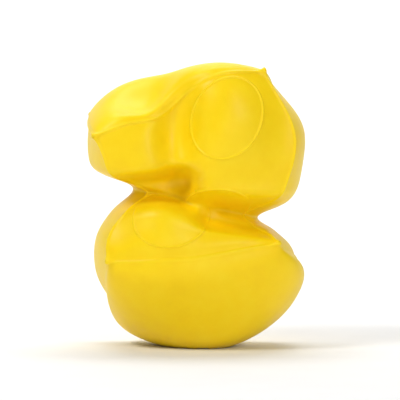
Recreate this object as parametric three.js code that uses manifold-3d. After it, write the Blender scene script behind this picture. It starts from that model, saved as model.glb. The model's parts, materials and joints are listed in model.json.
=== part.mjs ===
// A squeezable cube toy, wrung at the waist into an upper and a lower lobe, standing on its belly.
// Millimetres, +Z up, front towards -Y. Origin: middle of the footprint, on the surface it stands on.
// A hollow rubber skin holds a soft filling, and a small plug closes the hole the filling goes in by.
// Skin and filling are divided only at the waist, the one place where the toy bends and twists.
import * as THREE from 'three';
import { mergeVertices } from 'three/addons/utils/BufferGeometryUtils.js';
import Module from 'manifold-3d';

const wasm = await Module();
wasm.setup();

// ---- driving dimensions ----
const WIDTH = 164;              // overall, left to right
const DEPTH = 116;              // overall, front to back
const HEIGHT = 213;             // overall, from the surface it stands on
const WALL = 2.5;               // thickness of the skin
const GAP = 0.3;                // clearance between touching pieces
const FILL_GAP = 1.2;           // clearance between the filling and the skin around it
const WAIST_BAND = 10;          // height of the slice that bends, along the neck
const FLAT_DEPTH = 2.6;         // how far the belly is pressed flat where it stands
const PORT_RADIUS = 6;          // hole for filling
const PLUG_PROUD = 0.7;         // how far the plug stands out of the skin
const PLUG_FLANGE_RADIUS = 8.5; // lip behind the wall that keeps the plug in
const PLUG_FLANGE_THICK = 1.5;
const PLUG_FLANGE_SETBACK = 1.8; // room between the lip and the curved wall
const PLUG_SIDES = 32;
const PLUG_CHAMFER = 1;         // bevel round the plug's outer face
const COLUMNS = 12;             // facets along each side of the cube
const ROWS = 22;                // facets from the bottom edge to the top edge

// ---- the cube's shape under the hands ----
// The four upright edges of the cube, from the bottom edge ring to the top edge ring, at even steps:
// belly edge, lower lobe, shoulder, waist, shoulder, upper lobe, top edge.
const FRONT_LEFT = [
  [-66, -46, 70], [-68, -46, 81], [-65, -43, 93], [-54, -38, 105], [-40, -15, 119],
  [-62, -38, 129], [-68, -45, 134.5], [-71, -47, 146], [-74.5, -46, 158.5],
];
const FRONT_RIGHT = [
  [62.5, -43, 82.5], [62, -42, 85], [59, -40, 88], [50, -37, 92], [40, -15, 101],
  [64, -41, 112], [72, -41, 126], [76.5, -37, 161], [51, -30, 206.5],
];
const BACK_RIGHT = [
  [72, 41, 50], [68, 47, 64], [63, 47, 77], [54, 40, 90], [40, 24, 101],
  [60, 38, 112], [73, 46, 134], [73, 47, 166], [58, 38, 188],
];
const BACK_LEFT = [
  [-59, 44, 22], [-73, 50, 44], [-73, 49, 76], [-59, 42, 102], [-40, 24, 119],
  [-60, 40, 130], [-76, 47, 140], [-81, 48, 158], [-81.5, 42, 175],
];
// How round the girth is at each of those levels: 0 is a square with sharp corners, 1 is a circle.
const ROUNDNESS = [0.22, 0.36, 0.46, 0.6, 0.8, 0.6, 0.46, 0.32, 0.14];
const GIRTH_SWELL = 1.2;        // radius of the full circle, against the square's half side
const DOME_POWER = 0.6;         // under 1 makes a dome that rises steeply from its edge
const TOP_DOME = { level: 1, rise: [-6, -6, 24], swell: [0.2, 0.2, 0.2] };
const BELLY_DOME = { level: 0, rise: [16, -10, -51], swell: [0.72, 0.4, 0.72] };
const NORMAL_EASING = 3;        // rounds of averaging, for the inside of the skin
const SEAM_WELD = 1e-3;         // points nearer than this are one point, where the faces meet

// Local swells and presses: centre, reach along X, Y and Z, and the move at the centre.
const PUSHES = [
  { at: [26, -45, 174], reach: [46, 60, 54], move: [0, -13, 6] },    // swell in the upper front face
  { at: [6, -45, 196], reach: [48, 60, 34], move: [0, -1, 7] },      // rise of its upper edge
  { at: [-13, -45, 158], reach: [22, 40, 46], move: [0, 14, 0] },    // valley beside it
  { at: [-34, -26, 185], reach: [34, 26, 34], move: [3, 3, -15] },   // dent in the top face
  { at: [-50, 10, 190], reach: [42, 50, 34], move: [-2, 0, 4] },     // fullness behind the dent
  { at: [76, 5, 178], reach: [30, 60, 40], move: [3, 0, 0] },        // upper right shoulder
  { at: [80, -5, 62], reach: [34, 60, 28], move: [6, 0, 3] },        // bulge on the right of the belly
  { at: [4, 6, 0], reach: [70, 70, 48], move: [0, -9, 0] },          // lean of the belly's lowest part
  { at: [-26, -40, 98], reach: [34, 40, 30], move: [0, -5, 7] },     // left hump of the lower lobe
  { at: [2, -16, 112], reach: [20, 26, 26], move: [0, -12, 0] },     // web of skin between the thumbs
  { at: [-10, -50, 72], reach: [62, 40, 34], move: [0, -6, -4] },    // sag of the belly's front edge
];

// The two grooves that the thumbs press into the front of the waist, as straight stretches from the tip of
// each thumb outwards: tip and root as [x, z], the groove's half height at both, and how far back its floor
// is at both. The left groove bends, so it takes three stretches.
const THUMB_GROOVES = [
  { tip: [-12, 125], root: [-16, 125], half: [14.5, 13.5], floor: [-18, -18] },
  { tip: [-16, 123], root: [-50, 119.5], half: [11.5, 12.5], floor: [-18, -18] },
  { tip: [-52, 118], root: [-78, 110], half: [14, 26], floor: [-18, -18] },
  { tip: [11, 101.5], root: [75, 99.5], half: [10, 20], floor: [-22, -19] },
];
const GROOVE_DEPTH = 34;        // from a groove's floor to the skin's front
const GROOVE_EASE = 3;          // how softly a groove's wall turns into the skin around it
const GROOVE_BACK = 10;         // skin behind this depth is out of the thumbs' reach

// ---- surface ----
function edgeCurve(points) {
  return new THREE.CatmullRomCurve3(points.map((p) => new THREE.Vector3(...p)), false, 'catmullrom');
}

const edges = [FRONT_LEFT, FRONT_RIGHT, BACK_RIGHT, BACK_LEFT].map(edgeCurve);
const roundnessCurve = edgeCurve(ROUNDNESS.map((k) => [k, 0, 0]));

// A point inside the girth at height share v: s runs left to right and t front to back, both -1 to 1.
function levelPoint(s, t, v) {
  const [fl, fr, br, bl] = edges.map((edge) => edge.getPoint(v));
  const k = roundnessCurve.getPoint(v).x;
  const x = (1 - k) * s + k * GIRTH_SWELL * s * Math.sqrt(1 - t * t / 2);
  const y = (1 - k) * t + k * GIRTH_SWELL * t * Math.sqrt(1 - s * s / 2);
  return new THREE.Vector3()
    .addScaledVector(fl, (1 - x) * (1 - y) / 4)
    .addScaledVector(fr, (1 + x) * (1 - y) / 4)
    .addScaledVector(br, (1 + x) * (1 + y) / 4)
    .addScaledVector(bl, (1 - x) * (1 + y) / 4);
}

// The top or bottom face: its own edge ring swelled outwards and raised into a dome.
function capPoint(s, t, { level, rise, swell }) {
  const inside = (1 - s * s) * (1 - t * t);
  const height = Math.pow(inside, DOME_POWER);
  const centre = levelPoint(0, 0, level);
  const spreadOut = new THREE.Vector3(1, 1, 1).addScaledVector(new THREE.Vector3(...swell), height - inside);
  return levelPoint(s, t, level)
    .sub(centre)
    .multiply(spreadOut)
    .add(centre)
    .addScaledVector(new THREE.Vector3(...rise), height);
}

function between(pair, share) {
  return pair[0] + (pair[1] - pair[0]) * share;
}

// The point pressed back to a thumb groove's wall, where it is in front of that wall.
function pressedBack(point, { tip, root, half, floor }) {
  const start = new THREE.Vector2(...tip);
  const along = new THREE.Vector2(...root).sub(start);
  const reached = new THREE.Vector2(point.x, point.z).sub(start);
  const share = THREE.MathUtils.clamp(reached.dot(along) / along.lengthSq(), 0, 1);
  const off = reached.addScaledVector(along, -share).length() / between(half, share);
  const wall = between(floor, share) - GROOVE_DEPTH * off ** 4;
  return (point.y + wall + Math.hypot(point.y - wall, GROOVE_EASE)) / 2;
}

function pushed(point) {
  const moved = point.clone();
  for (const { at, reach, move } of PUSHES) {
    const [dx, dy, dz] = at.map((c, i) => (point.getComponent(i) - c) / reach[i]);
    const share = Math.max(0, 1 - dx * dx - dy * dy - dz * dz) ** 2;
    moved.add(new THREE.Vector3(...move).multiplyScalar(share));
  }
  for (const groove of THUMB_GROOVES) {
    moved.y = moved.y < GROOVE_BACK ? pressedBack(moved, groove) : moved.y;
  }
  return moved;
}

// Facet lines lie closer together near the edges of a face, where it turns fastest.
function spread(i) {
  return Math.sin((Math.PI / 2) * (2 * i / COLUMNS - 1));
}

// The six faces of the cube as grids of points, seen from outside with the rows going up.
function facePoints() {
  const sides = [
    (u) => [u, -1],
    (u) => [1, u],
    (u) => [-u, 1],
    (u) => [-1, -u],
  ];
  const faces = sides.map((side) => ({
    rows: ROWS,
    point: (i, j) => levelPoint(...side(spread(i)), j / ROWS),
  }));
  faces.push({ rows: COLUMNS, point: (i, j) => capPoint(spread(i), spread(j), TOP_DOME) });
  faces.push({ rows: COLUMNS, point: (i, j) => capPoint(spread(i), -spread(j), BELLY_DOME) });
  return faces;
}

function closedSurface() {
  const positions = [];
  const triangles = [];
  for (const { rows, point } of facePoints()) {
    const first = positions.length / 3;
    for (let j = 0; j <= rows; j += 1) {
      for (let i = 0; i <= COLUMNS; i += 1) {
        positions.push(...pushed(point(i, j)).toArray());
      }
    }
    for (let j = 0; j < rows; j += 1) {
      for (let i = 0; i < COLUMNS; i += 1) {
        const a = first + j * (COLUMNS + 1) + i;
        const b = a + COLUMNS + 1;
        triangles.push(a, a + 1, b + 1, a, b + 1, b);
      }
    }
  }
  const geometry = new THREE.BufferGeometry();
  geometry.setAttribute('position', new THREE.Float32BufferAttribute(positions, 3));
  geometry.setIndex(triangles);
  return mergeVertices(geometry, SEAM_WELD);
}

// Averages each vertex normal with its neighbours', so that a shrunk copy doesn't fold at the corners.
function easeNormals(geometry, rounds) {
  const { position, normal } = geometry.attributes;
  const corners = geometry.index.array;
  for (let round = 0; round < rounds; round += 1) {
    const sums = Array.from({ length: position.count }, () => new THREE.Vector3());
    for (let c = 0; c < corners.length; c += 3) {
      const triangle = [corners[c], corners[c + 1], corners[c + 2]];
      const mean = new THREE.Vector3();
      triangle.forEach((i) => mean.add(new THREE.Vector3().fromBufferAttribute(normal, i)));
      triangle.forEach((i) => sums[i].add(mean));
    }
    sums.forEach((sum, i) => normal.setXYZ(i, ...sum.normalize().toArray()));
  }
}

// The drawn shape stretched to the overall sizes, standing on z = 0 once its belly is pressed flat.
const surface = closedSurface();
surface.computeBoundingBox();
const drawn = surface.boundingBox;
const drawnSize = drawn.getSize(new THREE.Vector3());
const fit = new THREE.Matrix4()
  .makeScale(WIDTH / drawnSize.x, DEPTH / drawnSize.y, (HEIGHT + FLAT_DEPTH) / drawnSize.z)
  .multiply(new THREE.Matrix4().makeTranslation(
    -(drawn.min.x + drawn.max.x) / 2, -(drawn.min.y + drawn.max.y) / 2, -drawn.min.z));
fit.premultiply(new THREE.Matrix4().makeTranslation(0, 0, -FLAT_DEPTH));
surface.applyMatrix4(fit);
surface.computeVertexNormals();
easeNormals(surface, NORMAL_EASING);

// ---- solids ----
function solid(geometry) {
  const bare = geometry.clone();
  bare.deleteAttribute('normal');
  bare.deleteAttribute('uv');
  const merged = mergeVertices(bare, SEAM_WELD / 10);
  return new wasm.Manifold(new wasm.Mesh({
    numProp: 3,
    vertProperties: new Float32Array(merged.attributes.position.array),
    triVerts: new Uint32Array(merged.index.array),
  }));
}

// The toy's body shrunk inwards by a depth, with the belly flat at that depth above the table.
function bodyInside(depth) {
  const geometry = surface.clone();
  const { position, normal } = geometry.attributes;
  const point = new THREE.Vector3();
  const inward = new THREE.Vector3();
  for (let i = 0; i < position.count; i += 1) {
    point.fromBufferAttribute(position, i);
    inward.fromBufferAttribute(normal, i);
    point.addScaledVector(inward, -depth);
    position.setXYZ(i, point.x, point.y, point.z);
  }
  return solid(geometry).subtract(slab(new THREE.Matrix4().makeTranslation(0, 0, depth), -1));
}

// Everything on one side of the XY plane of a frame: side +1 is above it, -1 is below.
function slab(frame, side) {
  const reach = 2 * (WIDTH + DEPTH + HEIGHT);
  const box = new THREE.BoxGeometry(reach, reach, reach);
  box.translate(0, 0, side * reach / 2);
  box.applyMatrix4(frame);
  return solid(box);
}

// ---- the neck: its middle and its slant come from the waist's four corners ----
const waistCorners = edges.map((edge) => edge.getPoint(0.5).applyMatrix4(fit));
const neckCentre = waistCorners.reduce((sum, p) => sum.add(p), new THREE.Vector3()).divideScalar(4);
const neckAcross = waistCorners[1].clone().sub(waistCorners[0]);
const neckSlant = Math.atan2(-neckAcross.z, neckAcross.x);

function neckFrame(offset) {
  return new THREE.Matrix4()
    .makeTranslation(neckCentre)
    .multiply(new THREE.Matrix4().makeRotationY(neckSlant))
    .multiply(new THREE.Matrix4().makeTranslation(0, 0, offset));
}

// Lower, waist and upper thirds of a body, with a gap between them.
function dividedAtWaist(body) {
  const half = WAIST_BAND / 2;
  return {
    lower: body.subtract(slab(neckFrame(-half), 1)),
    waist: body.subtract(slab(neckFrame(half - GAP), 1)).subtract(slab(neckFrame(GAP - half), -1)),
    upper: body.subtract(slab(neckFrame(half), -1)),
  };
}

// ---- the fill hole: low on the back face, square to the skin ----
const PORT_HEIGHT_SHARE = 0.16;
const PORT_STEP = 0.02;
const portMouth = levelPoint(0, 1, PORT_HEIGHT_SHARE).applyMatrix4(fit);
const portUp = levelPoint(0, 1, PORT_HEIGHT_SHARE + PORT_STEP).applyMatrix4(fit).sub(portMouth);
const portSide = levelPoint(-PORT_STEP, 1, PORT_HEIGHT_SHARE).applyMatrix4(fit).sub(portMouth);
const portAxis = portSide.cross(portUp).normalize();
const portFrame = new THREE.Matrix4().compose(
  portMouth,
  new THREE.Quaternion().setFromUnitVectors(new THREE.Vector3(0, 1, 0), portAxis),
  new THREE.Vector3(1, 1, 1));

// A turned shape standing on the port: profile points are [radius, distance out of the skin].
function turnedOnPort(profile) {
  const shape = new THREE.LatheGeometry(profile.map(([r, y]) => new THREE.Vector2(r, y)), PLUG_SIDES);
  shape.applyMatrix4(portFrame);
  return solid(shape);
}

const flangeTop = -(WALL + PLUG_FLANGE_SETBACK);
const flangeBottom = flangeTop - PLUG_FLANGE_THICK;
const plugRadius = PORT_RADIUS - GAP;
const plugSolid = turnedOnPort([
  [0, flangeBottom], [PLUG_FLANGE_RADIUS, flangeBottom], [PLUG_FLANGE_RADIUS, flangeTop],
  [plugRadius, flangeTop], [plugRadius, PLUG_PROUD / 2], [plugRadius - PLUG_CHAMFER, PLUG_PROUD],
  [0, PLUG_PROUD],
]);
const portHole = turnedOnPort([
  [0, flangeTop], [PORT_RADIUS, flangeTop], [PORT_RADIUS, WALL], [0, WALL],
]);
const pocketRadius = PLUG_FLANGE_RADIUS + GAP;
const plugPocket = turnedOnPort([
  [0, flangeBottom - GAP], [pocketRadius, flangeBottom - GAP], [pocketRadius, WALL], [0, WALL],
]);

// ---- pieces ----
const skin = bodyInside(0).subtract(bodyInside(WALL));
const filling = bodyInside(WALL + FILL_GAP);
const skinParts = dividedAtWaist(skin);
const fillingParts = dividedAtWaist(filling);
skinParts.lower = skinParts.lower.subtract(portHole);
fillingParts.lower = fillingParts.lower.subtract(plugPocket);

const skinYellow = { color: 0xf6d211, roughness: 0.42, metalness: 0 };
const fillingCream = { color: 0xefe6c8, roughness: 0.8, metalness: 0 };
const plugYellow = { color: 0xe3bc14, roughness: 0.5, metalness: 0 };

function piece(name, manifold, material) {
  const { numProp, vertProperties, triVerts } = manifold.getMesh();
  const geometry = new THREE.BufferGeometry();
  const buffer = new THREE.InterleavedBuffer(vertProperties, numProp);
  geometry.setAttribute('position', new THREE.InterleavedBufferAttribute(buffer, 3, 0));
  geometry.setIndex(new THREE.BufferAttribute(triVerts, 1));
  const mesh = new THREE.Mesh(geometry, new THREE.MeshStandardMaterial(material));
  mesh.name = name;
  return mesh;
}

const group = new THREE.Group();
for (const place of ['lower', 'waist', 'upper']) {
  group.add(piece(`skin_${place}`, skinParts[place], skinYellow));
  group.add(piece(`filling_${place}`, fillingParts[place], fillingCream));
}
group.add(piece('fill_plug', plugSolid, plugYellow));

export default group;
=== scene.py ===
# %% [markdown]
# A squeezable rubber cube, wrung at the waist. The CAD model gives the frame: its size, its two lobes
# and the neck they twist about. This script gives the looks: a smooth soft skin with moulded ridges.

# %% Load the frame
import json
import math

import bmesh
import bpy
import numpy as np
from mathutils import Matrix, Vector, kdtree


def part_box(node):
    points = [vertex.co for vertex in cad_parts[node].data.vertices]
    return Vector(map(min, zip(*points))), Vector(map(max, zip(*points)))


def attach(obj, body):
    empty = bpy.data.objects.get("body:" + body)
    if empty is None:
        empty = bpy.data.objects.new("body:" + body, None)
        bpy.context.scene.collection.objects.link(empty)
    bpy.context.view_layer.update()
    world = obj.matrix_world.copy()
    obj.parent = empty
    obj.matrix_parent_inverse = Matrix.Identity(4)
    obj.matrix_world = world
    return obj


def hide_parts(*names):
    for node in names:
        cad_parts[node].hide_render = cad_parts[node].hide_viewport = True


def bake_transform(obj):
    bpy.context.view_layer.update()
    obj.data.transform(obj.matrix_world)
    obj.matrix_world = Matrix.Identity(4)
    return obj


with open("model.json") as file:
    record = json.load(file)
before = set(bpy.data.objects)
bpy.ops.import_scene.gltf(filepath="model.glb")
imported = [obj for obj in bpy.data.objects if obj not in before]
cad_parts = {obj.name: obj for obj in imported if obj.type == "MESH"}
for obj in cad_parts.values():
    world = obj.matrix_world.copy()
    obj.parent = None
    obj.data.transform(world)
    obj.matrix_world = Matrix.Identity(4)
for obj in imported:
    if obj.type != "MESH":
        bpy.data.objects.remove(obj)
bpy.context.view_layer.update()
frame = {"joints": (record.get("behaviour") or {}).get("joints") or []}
MM = 0.001
skin_boxes = [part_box(node) for node in ("skin_lower", "skin_waist", "skin_upper")]
skin_low = np.min([np.array(low) for low, _ in skin_boxes], axis=0) / MM
skin_high = np.max([np.array(high) for _, high in skin_boxes], axis=0) / MM
twist = frame["joints"][0]
print("skin box in mm", skin_low.round(1), skin_high.round(1))

# %% [markdown]
# The real toy is one moulded skin. Its shape under the hands could be sculpted or simulated, but a hand
# squeeze is hard to aim. Here the cube's four upright edges are drawn as curves through nine levels,
# and everything between them is a formula, the same one that the CAD solids were made with.

# %% The cube's edges under the squeeze
FRONT_LEFT = [
    (-66, -46, 70), (-68, -46, 81), (-65, -43, 93), (-54, -38, 105), (-40, -15, 119),
    (-62, -38, 129), (-68, -45, 134.5), (-71, -47, 146), (-74.5, -46, 158.5),
]
FRONT_RIGHT = [
    (62.5, -43, 82.5), (62, -42, 85), (59, -40, 88), (50, -37, 92), (40, -15, 101),
    (64, -41, 112), (72, -41, 126), (76.5, -37, 161), (51, -30, 206.5),
]
BACK_RIGHT = [
    (72, 41, 50), (68, 47, 64), (63, 47, 77), (54, 40, 90), (40, 24, 101),
    (60, 38, 112), (73, 46, 134), (73, 47, 166), (58, 38, 188),
]
BACK_LEFT = [
    (-59, 44, 22), (-73, 50, 44), (-73, 49, 76), (-59, 42, 102), (-40, 24, 119),
    (-60, 40, 130), (-76, 47, 140), (-81, 48, 158), (-81.5, 42, 175),
]
ROUNDNESS = [(k,) for k in (0.22, 0.36, 0.46, 0.6, 0.8, 0.6, 0.46, 0.32, 0.14)]
GIRTH_SWELL = 1.2
DOME_POWER = 0.6
TOP_DOME = {"rise": (-6, -6, 24), "swell": (0.2, 0.2, 0.2)}
BELLY_DOME = {"rise": (16, -10, -51), "swell": (0.72, 0.4, 0.72)}
FLAT_DEPTH = 2.6
BELLY_LIFT = 1.2


def along(points, share):
    """The smooth curve through points, at shares 0 to 1 of its steps."""
    p = np.array(points, float)
    step = np.clip(share, 0, 1) * (len(p) - 1)
    i = np.minimum(np.floor(step).astype(int), len(p) - 2)
    w = (step - i)[..., None]
    q = np.vstack([2 * p[0] - p[1], p, 2 * p[-1] - p[-2]])
    a, b, c, d = q[i], q[i + 1], q[i + 2], q[i + 3]
    leave = (c - a) / 2
    arrive = (d - b) / 2
    cubic = 2 * b - 2 * c + leave + arrive
    square = 3 * c - 3 * b - 2 * leave - arrive
    return cubic * w ** 3 + square * w ** 2 + leave * w + b


def girth(s, t, v):
    """A point at height share v: s runs left to right, t front to back, both -1 to 1."""
    k = along(ROUNDNESS, v)[..., 0]
    x = s * (1 - k + k * GIRTH_SWELL * np.sqrt(1 - t * t / 2))
    y = t * (1 - k + k * GIRTH_SWELL * np.sqrt(1 - s * s / 2))
    x, y = x[..., None], y[..., None]
    front = along(FRONT_LEFT, v) * (1 - x) + along(FRONT_RIGHT, v) * (1 + x)
    back = along(BACK_LEFT, v) * (1 - x) + along(BACK_RIGHT, v) * (1 + x)
    return (front * (1 - y) + back * (1 + y)) / 4


def dome(s, t, v, rise, swell):
    """The top or belly face: its edge ring swelled outwards and raised."""
    inside = (1 - s * s) * (1 - t * t)
    height = inside ** DOME_POWER
    centre = girth(0 * s, 0 * t, v)
    spread = 1 + (height - inside)[..., None] * np.array(swell)
    return centre + (girth(s, t, v) - centre) * spread + height[..., None] * np.array(rise)


# %% [markdown]
# The squeeze also leaves local marks: a swell where the filling is driven up, a dent in the top, and two
# grooves under the thumbs. Each is one gentle push or one rounded press, so it can be tuned alone.

# %% Pushes and thumb grooves
PUSHES = [
    {"at": (26, -45, 174), "reach": (46, 60, 54), "move": (0, -13, 6)},
    {"at": (6, -45, 196), "reach": (48, 60, 34), "move": (0, -1, 7)},
    {"at": (-13, -45, 158), "reach": (22, 40, 46), "move": (0, 14, 0)},
    {"at": (-34, -26, 185), "reach": (34, 26, 34), "move": (3, 3, -15)},
    {"at": (-50, 10, 190), "reach": (42, 50, 34), "move": (-2, 0, 4)},
    {"at": (76, 5, 178), "reach": (30, 60, 40), "move": (3, 0, 0)},
    {"at": (80, -5, 62), "reach": (34, 60, 28), "move": (6, 0, 3)},
    {"at": (4, 6, 0), "reach": (70, 70, 48), "move": (0, -9, 0)},
    {"at": (-26, -40, 98), "reach": (34, 40, 30), "move": (0, -5, 7)},
    {"at": (2, -16, 112), "reach": (20, 26, 26), "move": (0, -12, 0)},
    {"at": (-10, -50, 72), "reach": (62, 40, 34), "move": (0, -6, -4)},
]
THUMB_GROOVES = [
    {"tip": (-12, 125), "root": (-16, 125), "half": (14.5, 13.5), "floor": (-18, -18)},
    {"tip": (-16, 123), "root": (-50, 119.5), "half": (11.5, 12.5), "floor": (-18, -18)},
    {"tip": (-52, 118), "root": (-78, 110), "half": (14, 26), "floor": (-18, -18)},
    {"tip": (11, 101.5), "root": (75, 99.5), "half": (10, 20), "floor": (-22, -19)},
]
GROOVE_DEPTH = 34
GROOVE_EASE = 3
GROOVE_BACK = 10


def pressed(points, tip, root, half, floor):
    """Points moved back to the wall of a thumb groove, where they're in front of it."""
    start = np.array(tip, float)
    run = np.array(root) - start
    reached = points[:, [0, 2]] - start
    share = np.clip(reached @ run / (run @ run), 0, 1)
    off = np.linalg.norm(reached - share[:, None] * run, axis=1)
    off /= half[0] + (half[1] - half[0]) * share
    wall = floor[0] + (floor[1] - floor[0]) * share - GROOVE_DEPTH * off ** 4
    y = points[:, 1]
    eased = (y + wall + np.hypot(y - wall, GROOVE_EASE)) / 2
    return np.where(y < GROOVE_BACK, eased, y)


def squeezed(points):
    """The cube's points after the pushes and the thumbs."""
    moved = points.copy()
    for push in PUSHES:
        near = (points - push["at"]) / push["reach"]
        share = np.maximum(0, 1 - (near ** 2).sum(1)) ** 2
        moved += share[:, None] * np.array(push["move"])
    for groove in THUMB_GROOVES:
        moved[:, 1] = pressed(moved, **groove)
    return moved


def raw_points(s, t, v):
    """Squeezed points for any places on the cube: its sides, its top or its belly."""
    on_cap = np.maximum(np.abs(s), np.abs(t)) < 1
    points = girth(s, t, v)
    for level, cap in ((1, TOP_DOME), (0, BELLY_DOME)):
        here = on_cap & (v == level)
        points[here] = dome(s[here], t[here], v[here], **cap)
    return squeezed(points)


# %% [markdown]
# A grid over the six faces gives clean quads. Its lines crowd towards the cube's edges, where the thin
# ridges need them. Faces share the points of their common edges, so the skin is one closed mesh.

# %% One closed grid over the cube
CROWDING = 0.72


def crowded(count):
    """Steps from -1 to 1 that lie closer together at both ends."""
    even = np.linspace(-1, 1, count + 1)
    steps = CROWDING * np.sin(np.pi / 2 * even) + (1 - CROWDING) * even
    return steps.clip(-1, 1)


def cube_grid(across, deep, up):
    """Places (s, t, v) and quads of the whole cube, with this many steps each way."""
    s_steps, t_steps = crowded(across), crowded(deep)
    v_steps = (crowded(up) + 1) / 2
    sheets = [
        (s_steps, v_steps, lambda a, b: (a, -1 + 0 * a, b)),
        (t_steps, v_steps, lambda a, b: (1 + 0 * a, a, b)),
        (-s_steps, v_steps, lambda a, b: (a, 1 + 0 * a, b)),
        (-t_steps, v_steps, lambda a, b: (-1 + 0 * a, a, b)),
        (s_steps, t_steps, lambda a, b: (a, b, 1 + 0 * a)),
        (s_steps, -t_steps, lambda a, b: (a, b, 0 * a)),
    ]
    places, quads, first = [], [], 0
    for columns, rows, place in sheets:
        a, b = np.meshgrid(columns, rows)
        places.append(np.stack(place(a, b), -1).reshape(-1, 3))
        index = first + np.arange(a.size).reshape(a.shape)
        corners = [index[:-1, :-1], index[:-1, 1:], index[1:, 1:], index[1:, :-1]]
        quads.append(np.stack(corners, -1).reshape(-1, 4))
        first += a.size
    places = np.concatenate(places)
    _, keep, again = np.unique(places.round(9), axis=0, return_index=True, return_inverse=True)
    return places[keep], again.reshape(-1)[np.concatenate(quads)]


def fitted(points, drawn):
    """Drawn points stretched to the CAD skin's box, with the part to be pressed flat still under it."""
    low, high = drawn
    floor = np.array([skin_low[0], skin_low[1], skin_low[2] - FLAT_DEPTH])
    scale = (skin_high - floor) / (high - low)
    return (points - low) * scale + floor


def pressed_flat(points):
    """The belly as its own weight presses it: what would go below the floor turns up to it instead."""
    z = points[:, 2]
    pressed_up = points.copy()
    pressed_up[:, 2] = np.where(z > 0, z, (z + np.hypot(z, BELLY_LIFT)) / 2)
    return pressed_up


SKIN_STEPS = (100, 56, 200)
places, quads = cube_grid(*SKIN_STEPS)
raw = raw_points(*places.T)
print("skin grid:", len(places), "points,", len(quads), "quads")

# %% [markdown]
# The level curves meet with small changes of bend, and the groove walls start abruptly. Rubber can't do
# either, so the grid is relaxed: each point moves a little towards the middle of its neighbours, many
# times over. Points on a cube edge relax only along that edge, which keeps the edges where they are. A
# few last rounds let the edges move with the rest, so that no fold is left beside them.

# %% Relax the grid
def relaxed(points, places, quads, rounds, rate=0.5, keep_edges=True):
    """Points eased towards their neighbours. Cube edges are kept as edges unless told otherwise."""
    on_side = np.stack([np.abs(places[:, 0]) == 1, np.abs(places[:, 1]) == 1,
                        (places[:, 2] == 0) | (places[:, 2] == 1)], 1)
    rank = on_side.sum(1)
    pairs = np.concatenate([quads[:, [0, 1]], quads[:, [1, 2]], quads[:, [2, 3]], quads[:, [3, 0]]])
    pairs = np.unique(np.sort(pairs, 1), axis=0)
    a = np.concatenate([pairs[:, 0], pairs[:, 1]])
    b = np.concatenate([pairs[:, 1], pairs[:, 0]])
    follows = (rank[a] < 2) | ((rank[a] == 2) & (rank[b] >= 2)) | (not keep_edges)
    follows &= rank[a] < 3
    a, b = a[follows], b[follows]
    count = np.maximum(np.bincount(a, minlength=len(points)), 1)[:, None]
    moves = np.bincount(a, minlength=len(points))[:, None] > 0
    out = points.copy()
    for _ in range(rounds):
        total = np.stack([np.bincount(a, out[b, k], len(points)) for k in range(3)], 1)
        out += np.where(moves, total / count - out, 0) * rate
    return out


ROUNDS_WITH_EDGES_KEPT = 20
ROUNDS_WITH_EDGES_FREE = 10
eased = relaxed(raw, places, quads, ROUNDS_WITH_EDGES_KEPT)
eased = relaxed(eased, places, quads, ROUNDS_WITH_EDGES_FREE, keep_edges=False)
drawn_box = (eased.min(0), eased.max(0))
print("relaxing moved the skin by up to", np.linalg.norm(eased - raw, axis=1).max().round(2), "mm")

# %% [markdown]
# Three large ring outlines stand on the front face in a diagonal, as thin moulded lines. A line that thin
# could be a bump map, but then it would vanish at a grazing view, so it is real relief. Each ring is an
# ellipse seen from the front: its half width, half height and how far its top leans to the right.

# %% Rings and fill port, as places on the skin
RINGS = [
    {"centre": (22.5, 172.0), "half": (26.4, 29.8), "lean": 4.5, "upper": True, "height": 0.75},
    {"centre": (15.8, 108.0), "half": (24.0, 12.0), "lean": 0.0, "upper": True, "height": 0.6},
    {"centre": (-18.0, 99.2), "half": (27.8, 21.0), "lean": 2.4, "upper": False, "height": 0.6},
]
RING_WIDTH = 0.65
NOT_ON_RING = 99
LEAST_SLOPE = 0.004
PORT_RADIUS = 6.0
plug_low, plug_high = (np.array(corner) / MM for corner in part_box("fill_plug"))
port_place = (plug_low + plug_high) / 2


def ring_share(points, ring):
    """How far each point is from the ring's middle, 1 on the line, and its slope in X and Z."""
    half_x, half_z = ring["half"]
    mixed = ring["lean"] * half_z
    shape = np.linalg.inv(np.array([[half_x ** 2, mixed], [mixed, half_z ** 2]]))
    off = points[:, [0, 2]] - ring["centre"]
    share = np.sqrt(np.einsum("ij,jk,ik->i", off, shape, off)) + 1e-9
    return share, (off @ shape) / share[:, None]


def ring_distance(points, normals, places, ring):
    """Distance along the skin from the ring's line, for points of the front face."""
    share, slope = ring_share(points, ring)
    steep = np.stack([slope[:, 0], 0 * share, slope[:, 1]], 1)
    steep -= (steep * normals).sum(1)[:, None] * normals
    distance = np.abs(share - 1) / np.maximum(np.linalg.norm(steep, axis=1), LEAST_SLOPE)
    on_front = (places[:, 1] < -0.999) & (places[:, 2] > 0.002) & (places[:, 2] < 0.998)
    on_lobe = (places[:, 2] > 0.5) == ring["upper"]
    return np.where(on_front & on_lobe, distance, NOT_ON_RING)


# %% [markdown]
# The grid is fine enough for the shape but not for lines half a millimetre wide. Only the cells near the
# rings and the port are split, four ways, and their new points are worked out from the formula again.

# %% Split the cells under the fine lines
RING_REACH = 3.2
PORT_REACH = 5
EDGE_CUTS = 3


def mesh_of(points, faces):
    """A mesh of these points and faces."""
    made = bpy.data.meshes.new("shape")
    made.from_pydata(points.tolist(), [], [list(map(int, face)) for face in faces])
    made.update()
    return made


def stored(mesh, values):
    """Keeps one number for each point of the mesh, under each name."""
    for name, value in values.items():
        made = mesh.attributes.new(name, "FLOAT", "POINT")
        made.data.foreach_set("value", np.ascontiguousarray(value, dtype=np.float32))


def read_back(mesh, name):
    """The numbers that stored() kept, after new points were put between the old ones."""
    value = np.empty(len(mesh.vertices), np.float32)
    mesh.attributes[name].data.foreach_get("value", value)
    return value.astype(float)


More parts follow.
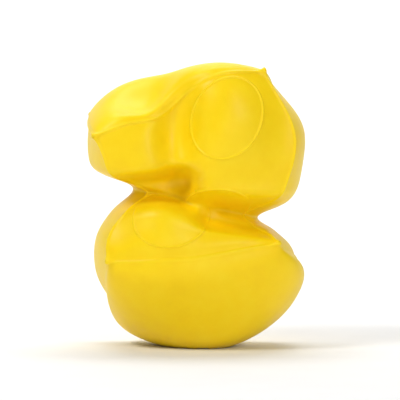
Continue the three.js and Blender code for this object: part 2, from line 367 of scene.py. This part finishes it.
def mesh_arrays(mesh):
    """The mesh's points and their normals."""
    points = np.empty(len(mesh.vertices) * 3, np.float32)
    mesh.vertices.foreach_get("co", points)
    normals = np.empty(len(mesh.vertices) * 3, np.float32)
    mesh.vertex_normals.foreach_get("vector", normals)
    return points.reshape(-1, 3).astype(float), normals.reshape(-1, 3).astype(float)


base = fitted(eased, drawn_box)
base_mesh = mesh_of(base, quads)
_, base_normals = mesh_arrays(base_mesh)
near = np.linalg.norm(base - port_place, axis=1) < PORT_RADIUS + PORT_REACH
for ring in RINGS:
    near |= ring_distance(base, base_normals, places, ring) < RING_REACH
shift = eased - raw
stored(base_mesh, {"s": places[:, 0], "t": places[:, 1], "v": places[:, 2],
                   "x": shift[:, 0], "y": shift[:, 1], "z": shift[:, 2]})
bm = bmesh.new()
bm.from_mesh(base_mesh)
bm.verts.ensure_lookup_table()
split = [edge for edge in bm.edges if near[edge.verts[0].index] and near[edge.verts[1].index]]
bmesh.ops.subdivide_edges(bm, edges=split, cuts=EDGE_CUTS, use_grid_fill=True)
bm.to_mesh(base_mesh)
bm.free()
fine_places = np.stack([read_back(base_mesh, k) for k in "stv"], 1)
fine_shift = np.stack([read_back(base_mesh, k) for k in "xyz"], 1)
old = len(places)
fine_places[:old] = places
fine_places[old:, 1] = np.where(np.abs(fine_places[old:, 1]) > 0.999,
                                np.sign(fine_places[old:, 1]), fine_places[old:, 1])
fine = pressed_flat(fitted(raw_points(*fine_places.T) + fine_shift, drawn_box))
base_mesh.vertices.foreach_set("co", fine.astype(np.float32).ravel())
base_mesh.update()
fine, fine_normals = mesh_arrays(base_mesh)
print("skin after splitting:", len(fine), "points")

# %% [markdown]
# Now the relief. A seam-like ridge runs along all twelve cube edges, because the mould is cut there, and
# the ridges meet in a small point at each corner. The port at the back has a shallow seat and a bead.

# %% Raise the ridges, rings, corner points and the port's bead
RIDGE_HEIGHT = 0.95
RIDGE_WIDTH = 0.95
CORNER_HEIGHT = 2.0
CORNER_WIDTH = 3.2
BEAD_HEIGHT = 0.55
BEAD_WIDTH = 0.8
BEAD_OFF_PORT = 1.6
SEAT_DEPTH = 1.1
SEAT_OFF_PORT = 0.35
SEAT_EASE = 0.12
PLUG_MIDDLE_TO_MOUTH = (0, 3.4, 0)
AROUND_PORT = 6
PORT_SIDE_ONLY = 16
FAR_OFF = 99


def distance_to(points, marks):
    """Distance from every point to the nearest of the marked points."""
    tree = kdtree.KDTree(len(marks))
    for i, mark in enumerate(marks):
        tree.insert(mark, i)
    tree.balance()
    return np.array([tree.find(point)[2] for point in points])


edge_rank = ((np.abs(fine_places[:, 0]) > 0.9999).astype(int) + (np.abs(fine_places[:, 1]) > 0.9999)
             + ((fine_places[:, 2] < 1e-5) | (fine_places[:, 2] > 1 - 1e-5)))
ridge_off = distance_to(fine, fine[edge_rank >= 2])
corner_off = distance_to(fine, fine[edge_rank == 3])
ridge = np.exp(-(ridge_off / RIDGE_WIDTH) ** 2)
peak = np.exp(-(corner_off / CORNER_WIDTH) ** 2)
facing_front = np.clip((-fine_normals[:, 1] - 0.2) / 0.3, 0, 1)
ring_relief = np.zeros(len(fine))
for ring in RINGS:
    off = ring_distance(fine, fine_normals, fine_places, ring)
    line = ring["height"] * np.exp(-(off / RING_WIDTH) ** 2)
    ring_relief = np.maximum(ring_relief, line * facing_front)
port_mouth_index = int(np.argmin(np.linalg.norm(fine - port_place - PLUG_MIDDLE_TO_MOUTH, axis=1)))
port_axis = fine_normals[np.linalg.norm(fine - fine[port_mouth_index], axis=1) < AROUND_PORT].mean(0)
port_axis /= np.linalg.norm(port_axis)
from_port = fine - fine[port_mouth_index]
port_off = np.linalg.norm(from_port - (from_port @ port_axis)[:, None] * port_axis, axis=1)
port_off = np.where(np.linalg.norm(from_port, axis=1) < PORT_SIDE_ONLY, port_off, FAR_OFF)
bead = np.exp(-((port_off - PORT_RADIUS - BEAD_OFF_PORT) / BEAD_WIDTH) ** 2)
seat = 1 / (1 + np.exp((port_off - PORT_RADIUS - SEAT_OFF_PORT) / SEAT_EASE))
relief = RIDGE_HEIGHT * ridge + CORNER_HEIGHT * peak + ring_relief
relief += BEAD_HEIGHT * bead - SEAT_DEPTH * seat
wear = np.clip(ridge + 0.8 * ring_relief + peak + 0.6 * bead, 0, 1)
skin_points = fine + fine_normals * relief[:, None]
skin_points[:, 2] = np.maximum(skin_points[:, 2], 0)
base_mesh.vertices.foreach_set("co", skin_points.astype(np.float32).ravel())
base_mesh.update()
_, skin_normals = mesh_arrays(base_mesh)
skin_faces = [list(face.vertices) for face in base_mesh.polygons]
print("highest relief", relief.max().round(2), "mm")

# %% [markdown]
# The toy twists and bends at its neck. The skin is cut there into two halves along one ring of the grid.
# Both halves keep the whole skin's normals, which hides the cut in the shading.

# %% Cut into halves
neck_axis = np.array(twist["axis"])
neck_axis = neck_axis / np.linalg.norm(neck_axis)


def half_piece(name, points, faces, heights, upper, normals=None, values=None):
    """The faces of one lobe as an object in metres."""
    mean = np.array([heights[face].mean() for face in faces])
    kept = [face for face, height in zip(faces, mean) if (height > 0.5) == upper]
    used = np.unique(np.concatenate([np.array(face) for face in kept]))
    index = np.full(len(points), -1)
    index[used] = np.arange(len(used))
    made = mesh_of(points[used] * MM, [index[face] for face in kept])
    made.name = name
    made.polygons.foreach_set("use_smooth", [True] * len(kept))
    if normals is not None:
        made.normals_split_custom_set_from_vertices(normals[used].tolist())
    stored(made, {k: value[used] for k, value in (values or {}).items()})
    piece = bpy.data.objects.new(name, made)
    bpy.context.scene.collection.objects.link(piece)
    return piece


def follow(piece, upper):
    """Bakes a half's placement into its points."""
    if upper:
        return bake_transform(piece)
    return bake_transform(piece)


heights = fine_places[:, 2]
skin_halves = {}
for name, upper in (("skin_below_waist", False), ("skin_above_waist", True)):
    half = half_piece(name, skin_points, skin_faces, heights, upper, skin_normals, {"wear": wear})
    skin_halves[name] = half
    print(name, len(half.data.vertices), "points", len(half.data.polygons), "faces")
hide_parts("skin_lower", "skin_waist")
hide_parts("skin_upper")

# %% [markdown]
# Under the skin lies the soft filling, cast in one piece. It is never seen, so a coarser grid does: the
# same formula, shrunk inwards past the wall along eased normals so that it doesn't fold at the corners.

# %% The filling
FILL_DEPTH = 3.7
CORE_STEPS = (28, 20, 52)
CORE_ROUNDS = 6
NORMAL_ROUNDS = 8
core_places, core_quads = cube_grid(*CORE_STEPS)
core = relaxed(raw_points(*core_places.T), core_places, core_quads, CORE_ROUNDS)
core = fitted(core, drawn_box)
core_mesh = mesh_of(core, core_quads)
_, core_normals = mesh_arrays(core_mesh)
links = np.concatenate([core_quads[:, [0, 1]], core_quads[:, [1, 2]],
                        core_quads[:, [2, 3]], core_quads[:, [3, 0]]])
for _ in range(NORMAL_ROUNDS):
    total = core_normals.copy()
    np.add.at(total, links[:, 0], core_normals[links[:, 1]])
    np.add.at(total, links[:, 1], core_normals[links[:, 0]])
    core_normals = total / np.linalg.norm(total, axis=1)[:, None]
core = core - core_normals * FILL_DEPTH
core[:, 2] = np.maximum(core[:, 2], FILL_DEPTH)
core_faces = [list(face) for face in core_quads]
filling_halves = {}
for name, upper in (("filling_below_waist", False), ("filling_above_waist", True)):
    half = half_piece(name, core, core_faces, core_places[:, 2], upper)
    filling_halves[name] = half
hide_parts("filling_lower", "filling_waist")
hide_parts("filling_upper")
print("filling:", len(core), "points")

# %% [markdown]
# The plug is a turned rubber button pushed into the port. Turning a profile round the port's axis, with
# rounded corners and a dimple left by the moulding pin, gives more than a plain disc would. Each step of
# the profile is a radius and a height over the skin, from the dimple out and down to the lip inside.

# %% The plug
PLUG_SIDES = 72
PLUG_AXIS_RADIUS = 0.02
PLUG_CROWN = 5
plug_profile = [(0.0, -0.25), (1.1, -0.22), (1.7, 0.05), (2.3, 0.42), (3.0, 0.62), (4.2, 0.74),
                (5.0, 0.7), (5.5, 0.5), (5.75, 0.15), (5.8, -0.4), (5.8, -4.2), (8.2, -4.3),
                (8.5, -4.6), (8.5, -5.5), (8.2, -5.8), (0.0, -5.8)]
turn = np.arange(PLUG_SIDES) * 2 * np.pi / PLUG_SIDES
side_a = np.cross(port_axis, (0, 0, 1))
side_a /= np.linalg.norm(side_a)
side_b = np.cross(port_axis, side_a)
mouth = fine[port_mouth_index]
plug_points = []
for radius, out in plug_profile:
    circle = np.cos(turn)[:, None] * side_a + np.sin(turn)[:, None] * side_b
    plug_points.append(mouth + port_axis * out + circle * max(radius, PLUG_AXIS_RADIUS))
rows = len(plug_profile)
plug_faces = []
for row in range(rows - 1):
    for k in range(PLUG_SIDES):
        after = (k + 1) % PLUG_SIDES
        a, b = row * PLUG_SIDES, (row + 1) * PLUG_SIDES
        plug_faces.append([a + k, b + k, b + after, a + after])
plug_faces.append(list(range(PLUG_SIDES)))
plug_faces.append([(rows - 1) * PLUG_SIDES + k for k in reversed(range(PLUG_SIDES))])
plug_mesh = mesh_of(np.concatenate(plug_points) * MM, plug_faces)
bm = bmesh.new()
bm.from_mesh(plug_mesh)
bmesh.ops.recalc_face_normals(bm, faces=bm.faces)
bm.to_mesh(plug_mesh)
bm.free()
plug_mesh.polygons.foreach_set("use_smooth", [True] * len(plug_mesh.polygons))
plug = bpy.data.objects.new("port_plug", plug_mesh)
bpy.context.scene.collection.objects.link(plug)
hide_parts("fill_plug")
print("plug stands", plug_profile[PLUG_CROWN][1], "mm out of the skin")

# %% [markdown]
# A finish is a small network of nodes. Written as sums in Python it stays readable: the class below
# wraps one socket, and adding or multiplying it adds the Math nodes.

# %% Sockets that can be added and multiplied
class Wire:
    """One output of a node. Sums and products of wires and numbers make Math nodes."""

    def __init__(self, tree, socket=None):
        self.tree = tree
        self.socket = socket

    def node(self, kind, settings=None, sockets=None, out=0):
        """Adds a node: its settings first, then the values or wires of its sockets."""
        made = self.tree.nodes.new(kind)
        for name, value in (settings or {}).items():
            if name == "stops":
                ramp = made.color_ramp
                while len(ramp.elements) < len(value):
                    ramp.elements.new(1)
                for element, (place, colour) in zip(ramp.elements, value):
                    element.position = place
                    element.color = colour
            else:
                setattr(made, name, value)
        for name, value in (sockets or {}).items():
            if isinstance(value, Wire):
                self.tree.links.new(value.socket, made.inputs[name])
            else:
                made.inputs[name].default_value = value
        return Wire(self.tree, made.outputs[out]) if made.outputs else made

    def sum(self, operation, a, b):
        return self.node("ShaderNodeMath", {"operation": operation}, {0: a, 1: b})

    def __add__(self, other):
        return self.sum("ADD", self, other)

    def __radd__(self, other):
        return self.sum("ADD", other, self)

    def __mul__(self, other):
        return self.sum("MULTIPLY", self, other)

    def mix(self, colour_a, colour_b):
        """Colour a where this wire is 0, colour b where it is 1."""
        settings = {"data_type": "RGBA", "clamp_factor": True}
        return self.node("ShaderNodeMix", settings, {0: self, 6: colour_a, 7: colour_b}, out=2)


def new_finish(name):
    """An empty material, and the wire of places in metres that its patterns hang on."""
    material = bpy.data.materials.new(name)
    material.use_nodes = True
    material.node_tree.nodes.clear()
    start = Wire(material.node_tree)
    return material, start.node("ShaderNodeTexCoord", out=3)


def cloud(place, scale, detail=3.0, roughness=0.5):
    """Soft random patches, from 0 to 1, with about this many to the metre."""
    sockets = {"Vector": place, "Scale": scale, "Detail": detail, "Roughness": roughness}
    return place.node("ShaderNodeTexNoise", {"noise_dimensions": "3D"}, sockets)


def close_finish(shader):
    shader.node("ShaderNodeOutputMaterial", sockets={"Surface": shader})


# %% [markdown]
# The skin is dyed soft rubber: a strong yellow that lets a little light through, so it glows warm in its
# folds. Subsurface scattering gives that. The gloss is satin with a faint fine grain, slightly uneven
# where fingers have polished it, and the raised lines are a touch paler because they rub first.

# %% The yellow skin's finish
def yellow_rubber(name, deep, plain, pale, wear_amount):
    material, place = new_finish(name)
    broad = cloud(place, 22, 2)
    patches = cloud(place, 95, 4, 0.6)
    grain = cloud(place, 900, 3, 0.6)
    specks = cloud(place, 420, 2)
    worn = place.node("ShaderNodeAttribute", {"attribute_name": "wear"}, out=2)
    tone = broad * 0.55 + patches * 0.45
    colour = tone.node("ShaderNodeValToRGB", {"stops": [(0.3, deep), (0.5, plain), (0.72, pale)]},
                       {"Fac": tone})
    colour = (worn * wear_amount).mix(colour, pale)
    rough = 0.33 + patches * 0.1 + grain * 0.06 + worn * 0.05
    relief = grain * 0.35 + specks * 0.3 + patches * 0.9
    bumped = place.node("ShaderNodeBump", sockets={"Strength": 0.3, "Distance": 0.0002, "Height": relief})
    shader = place.node("ShaderNodeBsdfPrincipled", {"subsurface_method": "RANDOM_WALK"}, {
        "Base Color": colour, "Roughness": rough, "Normal": bumped,
        "Subsurface Weight": 0.15, "Subsurface Radius": (1.0, 0.55, 0.08), "Subsurface Scale": 0.004,
        "Specular IOR Level": 0.26, "IOR": 1.47,
    })
    close_finish(shader)
    return material


skin_finish = yellow_rubber("yellow_soft_rubber", (0.91, 0.61, 0.001, 1), (0.94, 0.65, 0.002, 1),
                            (0.96, 0.69, 0.01, 1), 0.6)
plug_finish = yellow_rubber("plug_yellow_rubber", (0.78, 0.5, 0.006, 1), (0.82, 0.54, 0.01, 1),
                            (0.86, 0.59, 0.03, 1), 0.0)
print("skin and plug finishes made")

# %% [markdown]
# The filling is a pale, matt gel with fine bubbles. A Voronoi pattern makes round bubbles.

# %% The filling's finish
filling_finish, place = new_finish("pale_gel_filling")
bubbles = place.node("ShaderNodeTexVoronoi", {"feature": "F1"}, {"Vector": place, "Scale": 380})
cloudy = cloud(place, 60, 4)
cream = cloudy.mix((0.82, 0.7, 0.42, 1), (0.92, 0.84, 0.6, 1))
dented = place.node("ShaderNodeBump", sockets={
    "Strength": 0.4, "Distance": 0.0005, "Height": bubbles + cloudy * 0.4})
gel = place.node("ShaderNodeBsdfPrincipled", sockets={
    "Base Color": cream, "Roughness": 0.6 + cloudy * 0.2, "Normal": dented,
    "Subsurface Weight": 0.3, "Subsurface Scale": 0.01})
close_finish(gel)

for half in skin_halves.values():
    half.data.materials.append(skin_finish)
for half in filling_halves.values():
    half.data.materials.append(filling_finish)
for name, half in {**skin_halves, **filling_halves}.items():
    follow(half, "above" in name)
plug.data.materials.append(plug_finish)
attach(plug, "lower_lobe")
print("pieces:", sorted([*skin_halves, *filling_halves, plug.name]))

# %% [markdown]
# The stage is a white sweep: a floor that curves up into a backdrop, so no horizon shows. Square lights
# from the upper left, the right and low in front make the mild highlights that satin rubber shows. The
# Standard view transform keeps the yellow strong, where the default one would turn it pale.

# %% Floor, lights and camera
bpy.context.scene.view_settings.view_transform = "Standard"
SWEEP_REACH = 12
SWEEP_BEND = 1.2
SWEEP_BEND_START = 1.4
SWEEP_TOP = 4.5
sweep_points, sweep_faces = [], []
outline = [(-SWEEP_REACH, 0.0), (SWEEP_BEND_START, 0.0)]
for a in np.linspace(0.1, math.pi / 2, 14):
    outline.append((SWEEP_BEND_START + SWEEP_BEND * math.sin(a), SWEEP_BEND - SWEEP_BEND * math.cos(a)))
outline.append((SWEEP_BEND_START + SWEEP_BEND, SWEEP_TOP))
for y, z in outline:
    sweep_points += [(-SWEEP_REACH, y, z), (SWEEP_REACH, y, z)]
for k in range(len(outline) - 1):
    sweep_faces.append([2 * k, 2 * k + 1, 2 * k + 3, 2 * k + 2])
sweep_mesh = mesh_of(np.array(sweep_points), sweep_faces)
sweep_mesh.polygons.foreach_set("use_smooth", [True] * len(sweep_faces))
sweep = bpy.data.objects.new("studio_sweep", sweep_mesh)
bpy.context.scene.collection.objects.link(sweep)
paper, place = new_finish("white_paper_sweep")
fibres = cloud(place, 30, 3)
paper_shader = place.node("ShaderNodeBsdfPrincipled", sockets={
    "Base Color": fibres.mix((0.84, 0.84, 0.84, 1), (0.87, 0.87, 0.87, 1)), "Roughness": 0.9})
close_finish(paper_shader)
sweep_mesh.materials.append(paper)


def softbox(name, place, size, power, aim=(0, 0, 0.11)):
    """A square area light turned towards its aim, which is the toy's middle unless given."""
    lamp = bpy.data.lights.new(name, "AREA")
    lamp.shape = "SQUARE"
    lamp.size = size
    lamp.energy = power
    holder = bpy.data.objects.new(name, lamp)
    holder.location = place
    holder.rotation_euler = (Vector(aim) - Vector(place)).to_track_quat("-Z", "Y").to_euler()
    bpy.context.scene.collection.objects.link(holder)


WORLD_STRENGTH = 0.2
softbox("key_light", (-0.8, -0.7, 1.15), 0.45, 10)
softbox("right_light", (0.8, -1.2, 0.7), 0.3, 5.5)
softbox("top_light", (0.1, 0.3, 1.6), 1.2, 0.8)
softbox("low_front_light", (0.3, -1.7, 0.1), 0.7, 4.5)
softbox("backdrop_light", (0.0, 0.9, 2.6), 2.0, 78, aim=(0, 2.6, 0.9))
world = bpy.data.worlds.new("white_room")
world.use_nodes = True
world.node_tree.nodes["Background"].inputs["Color"].default_value = (1, 1, 1, 1)
world.node_tree.nodes["Background"].inputs["Strength"].default_value = WORLD_STRENGTH
bpy.context.scene.world = world

SENSOR_WIDTH = 36
FRAME_WIDTH = 0.3
DISTANCE = 1.7
ELEVATION = math.radians(2)
aim = Vector((0.003, 0, 0.1105))
lens = bpy.data.cameras.new("camera")
lens.sensor_width = SENSOR_WIDTH
lens.lens = SENSOR_WIDTH * DISTANCE / FRAME_WIDTH
lens.clip_start = 0.05
camera = bpy.data.objects.new("camera", lens)
camera.location = aim + Vector((0, -math.cos(ELEVATION), math.sin(ELEVATION))) * DISTANCE
camera.rotation_euler = (aim - camera.location).to_track_quat("-Z", "Y").to_euler()
bpy.context.scene.collection.objects.link(camera)
bpy.context.scene.camera = camera
print("camera at", tuple(round(c, 3) for c in camera.location))
